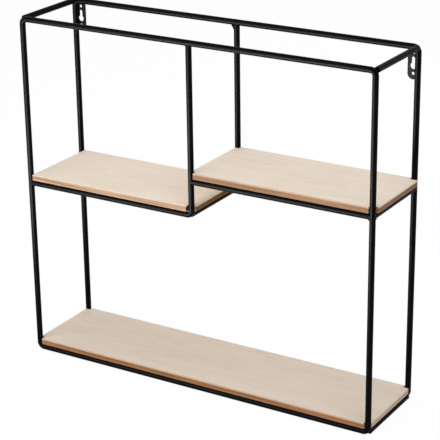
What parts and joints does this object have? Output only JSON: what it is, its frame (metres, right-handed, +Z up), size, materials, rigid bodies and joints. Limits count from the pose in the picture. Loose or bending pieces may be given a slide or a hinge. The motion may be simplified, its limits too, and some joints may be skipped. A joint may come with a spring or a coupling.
{
  "type": "wall cube shelf",
  "caption": "Wall shelf of black round steel wire with pale boards on three levels, a divider between stepped upper bays, an open top and keyhole plates for hanging.",
  "frame": {"origin": "on the plane that the bottom wires stand on, under the middle of the frame's width and depth", "axes": "+X to the right along the wall, seen from the room; +Y into the wall; +Z up"},
  "size_m": [0.5022, 0.12, 0.46],
  "materials": {
    "powder_coat": "satin black powder coat over steel",
    "board": "pale wood-grain face with warm brown edges, matt"
  },
  "bodies": {
    "frame": {"front_frame": "powder_coat", "rear_frame": "powder_coat", "top_left_rod": "powder_coat", "top_right_rod": "powder_coat", "bottom_left_rod": "powder_coat", "bottom_right_rod": "powder_coat", "divider_front_wire": "powder_coat", "divider_rear_wire": "powder_coat", "right_shelf_front_wire": "powder_coat", "right_shelf_rear_wire": "powder_coat", "left_shelf_left_rod": "powder_coat", "left_shelf_right_rod": "powder_coat", "right_shelf_left_rod": "powder_coat", "right_shelf_right_rod": "powder_coat", "left_hanger_plate": "powder_coat", "right_hanger_plate": "powder_coat"},
    "bottom_board": {"bottom_board": "board"},
    "left_board": {"left_board": "board"},
    "right_board": {"right_board": "board"}
  },
  "joints": [
    {"name": "bottom_board_lift", "type": "slide", "parent": "frame", "child": "bottom_board", "axis": [0, 0, 1], "range_m": [0, 0.21]},
    {"name": "left_board_lift", "type": "slide", "parent": "frame", "child": "left_board", "axis": [0, 0, 1], "range_m": [0, 0.025]},
    {"name": "right_board_lift", "type": "slide", "parent": "frame", "child": "right_board", "axis": [0, 0, 1], "range_m": [0, 0.15]}
  ]
}
